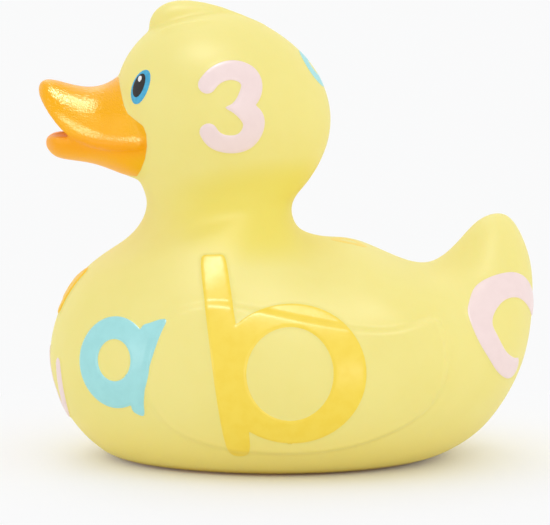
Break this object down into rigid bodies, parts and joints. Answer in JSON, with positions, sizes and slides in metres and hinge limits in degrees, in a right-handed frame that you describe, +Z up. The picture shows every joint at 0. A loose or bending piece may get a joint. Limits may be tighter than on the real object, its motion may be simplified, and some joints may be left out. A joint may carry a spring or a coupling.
{
  "type": "rubber duck",
  "caption": "Hollow soft vinyl bath duck with a flat base, raised wings, an open bill, a crest and printed nursery figures.",
  "frame": {"origin": "middle of the duck's bounding box in plan, on the surface that its flat base stands on", "axes": "+Z up, the bill points along -X, the duck's left side faces -Y"},
  "size_m": [0.1099, 0.0822, 0.102],
  "materials": {
    "vinyl": "satin soft vinyl",
    "bill_paint": "glossy sprayed paint with a fine grain",
    "pink_paint": "semi-gloss pad print",
    "blue_paint": "semi-gloss pad print",
    "orange_paint": "semi-gloss pad print",
    "eye_blue": "semi-gloss pad print",
    "eye_black": "semi-gloss pad print",
    "eye_white": "semi-gloss pad print"
  },
  "bodies": {
    "root": {"duck": "vinyl"}
  },
  "joints": []
}
